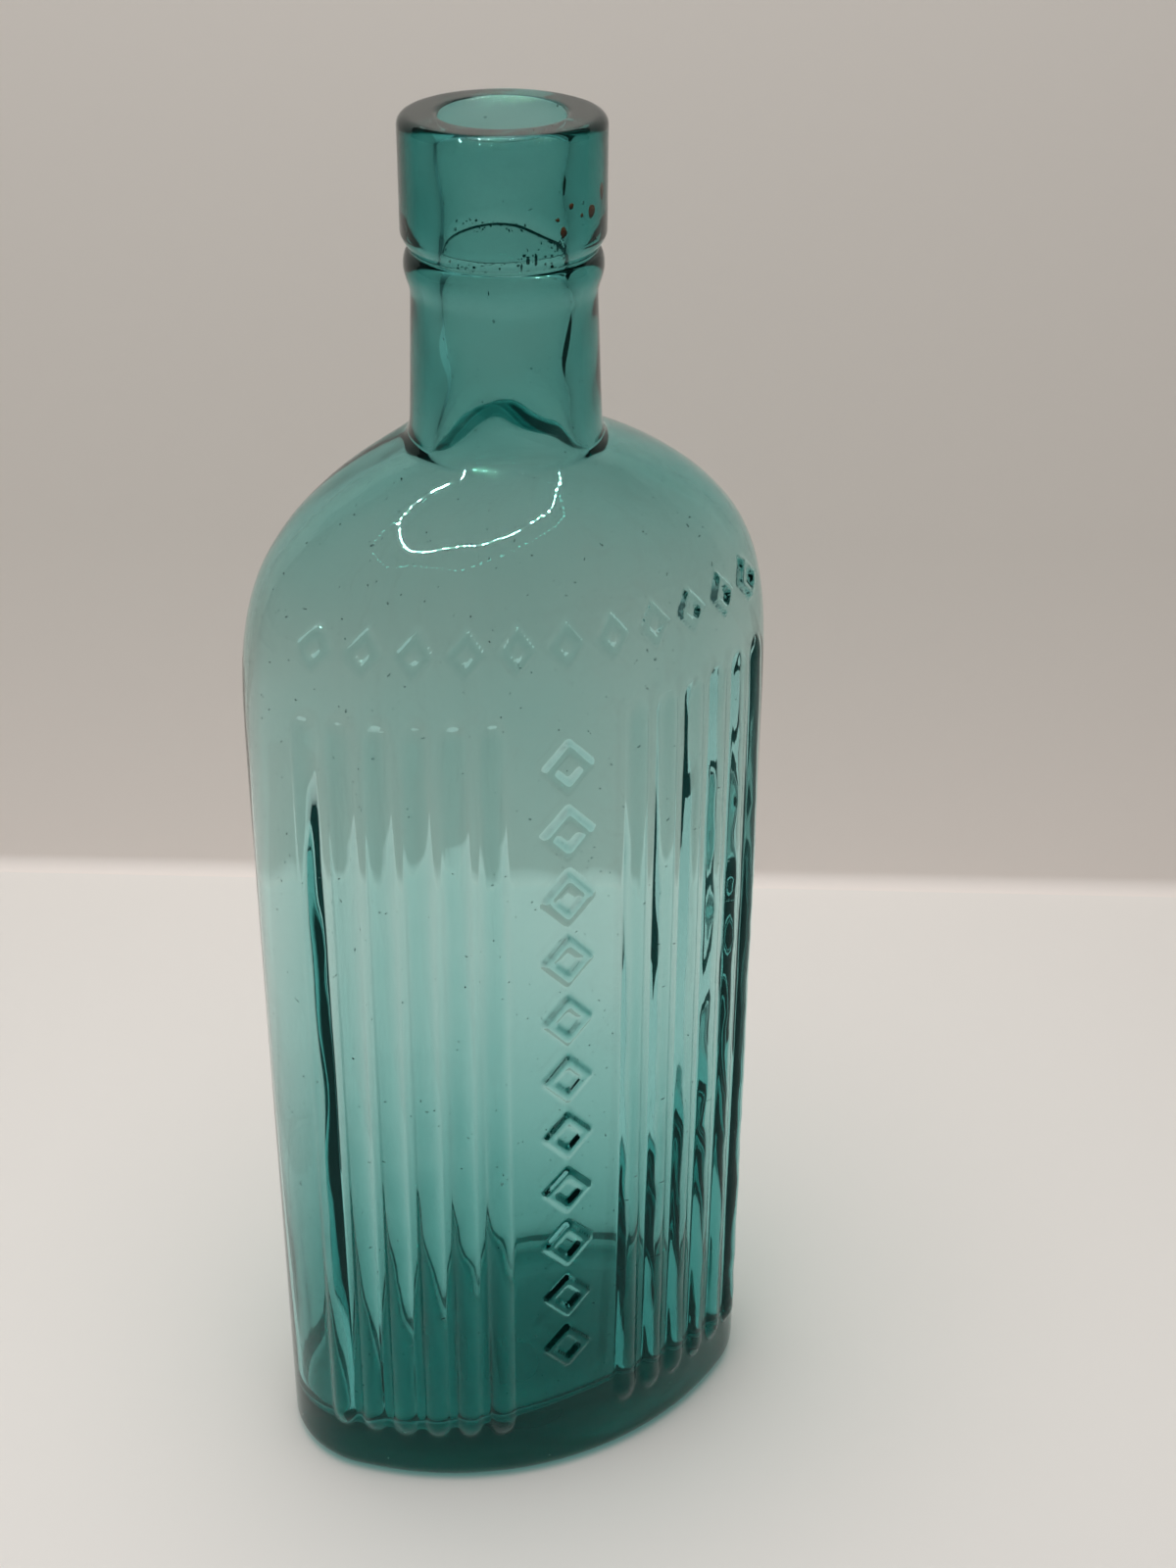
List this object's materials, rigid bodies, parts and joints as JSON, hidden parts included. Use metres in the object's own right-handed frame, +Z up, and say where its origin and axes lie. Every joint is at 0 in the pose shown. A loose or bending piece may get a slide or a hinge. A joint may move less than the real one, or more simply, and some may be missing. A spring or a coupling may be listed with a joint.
{
  "type": "poison bottle",
  "caption": "Oval glass bottle with upright ribs on its front, rounded shoulders, a round neck with a string ring, and a tall plain collar with an open mouth.",
  "frame": {"origin": "centre of the base, on the plane that the bottle stands on", "axes": "+Z up along the neck, X along the oval's width, -Y out of the ribbed front"},
  "size_m": [0.072, 0.0451, 0.2],
  "materials": {
    "bottle_glass": "pale teal bottle glass, mould-blown and fire-polished, with seeds and slight ripples"
  },
  "bodies": {
    "root": {"blown_body": "bottle_glass", "string_ring": "bottle_glass", "collar": "bottle_glass"}
  },
  "joints": []
}
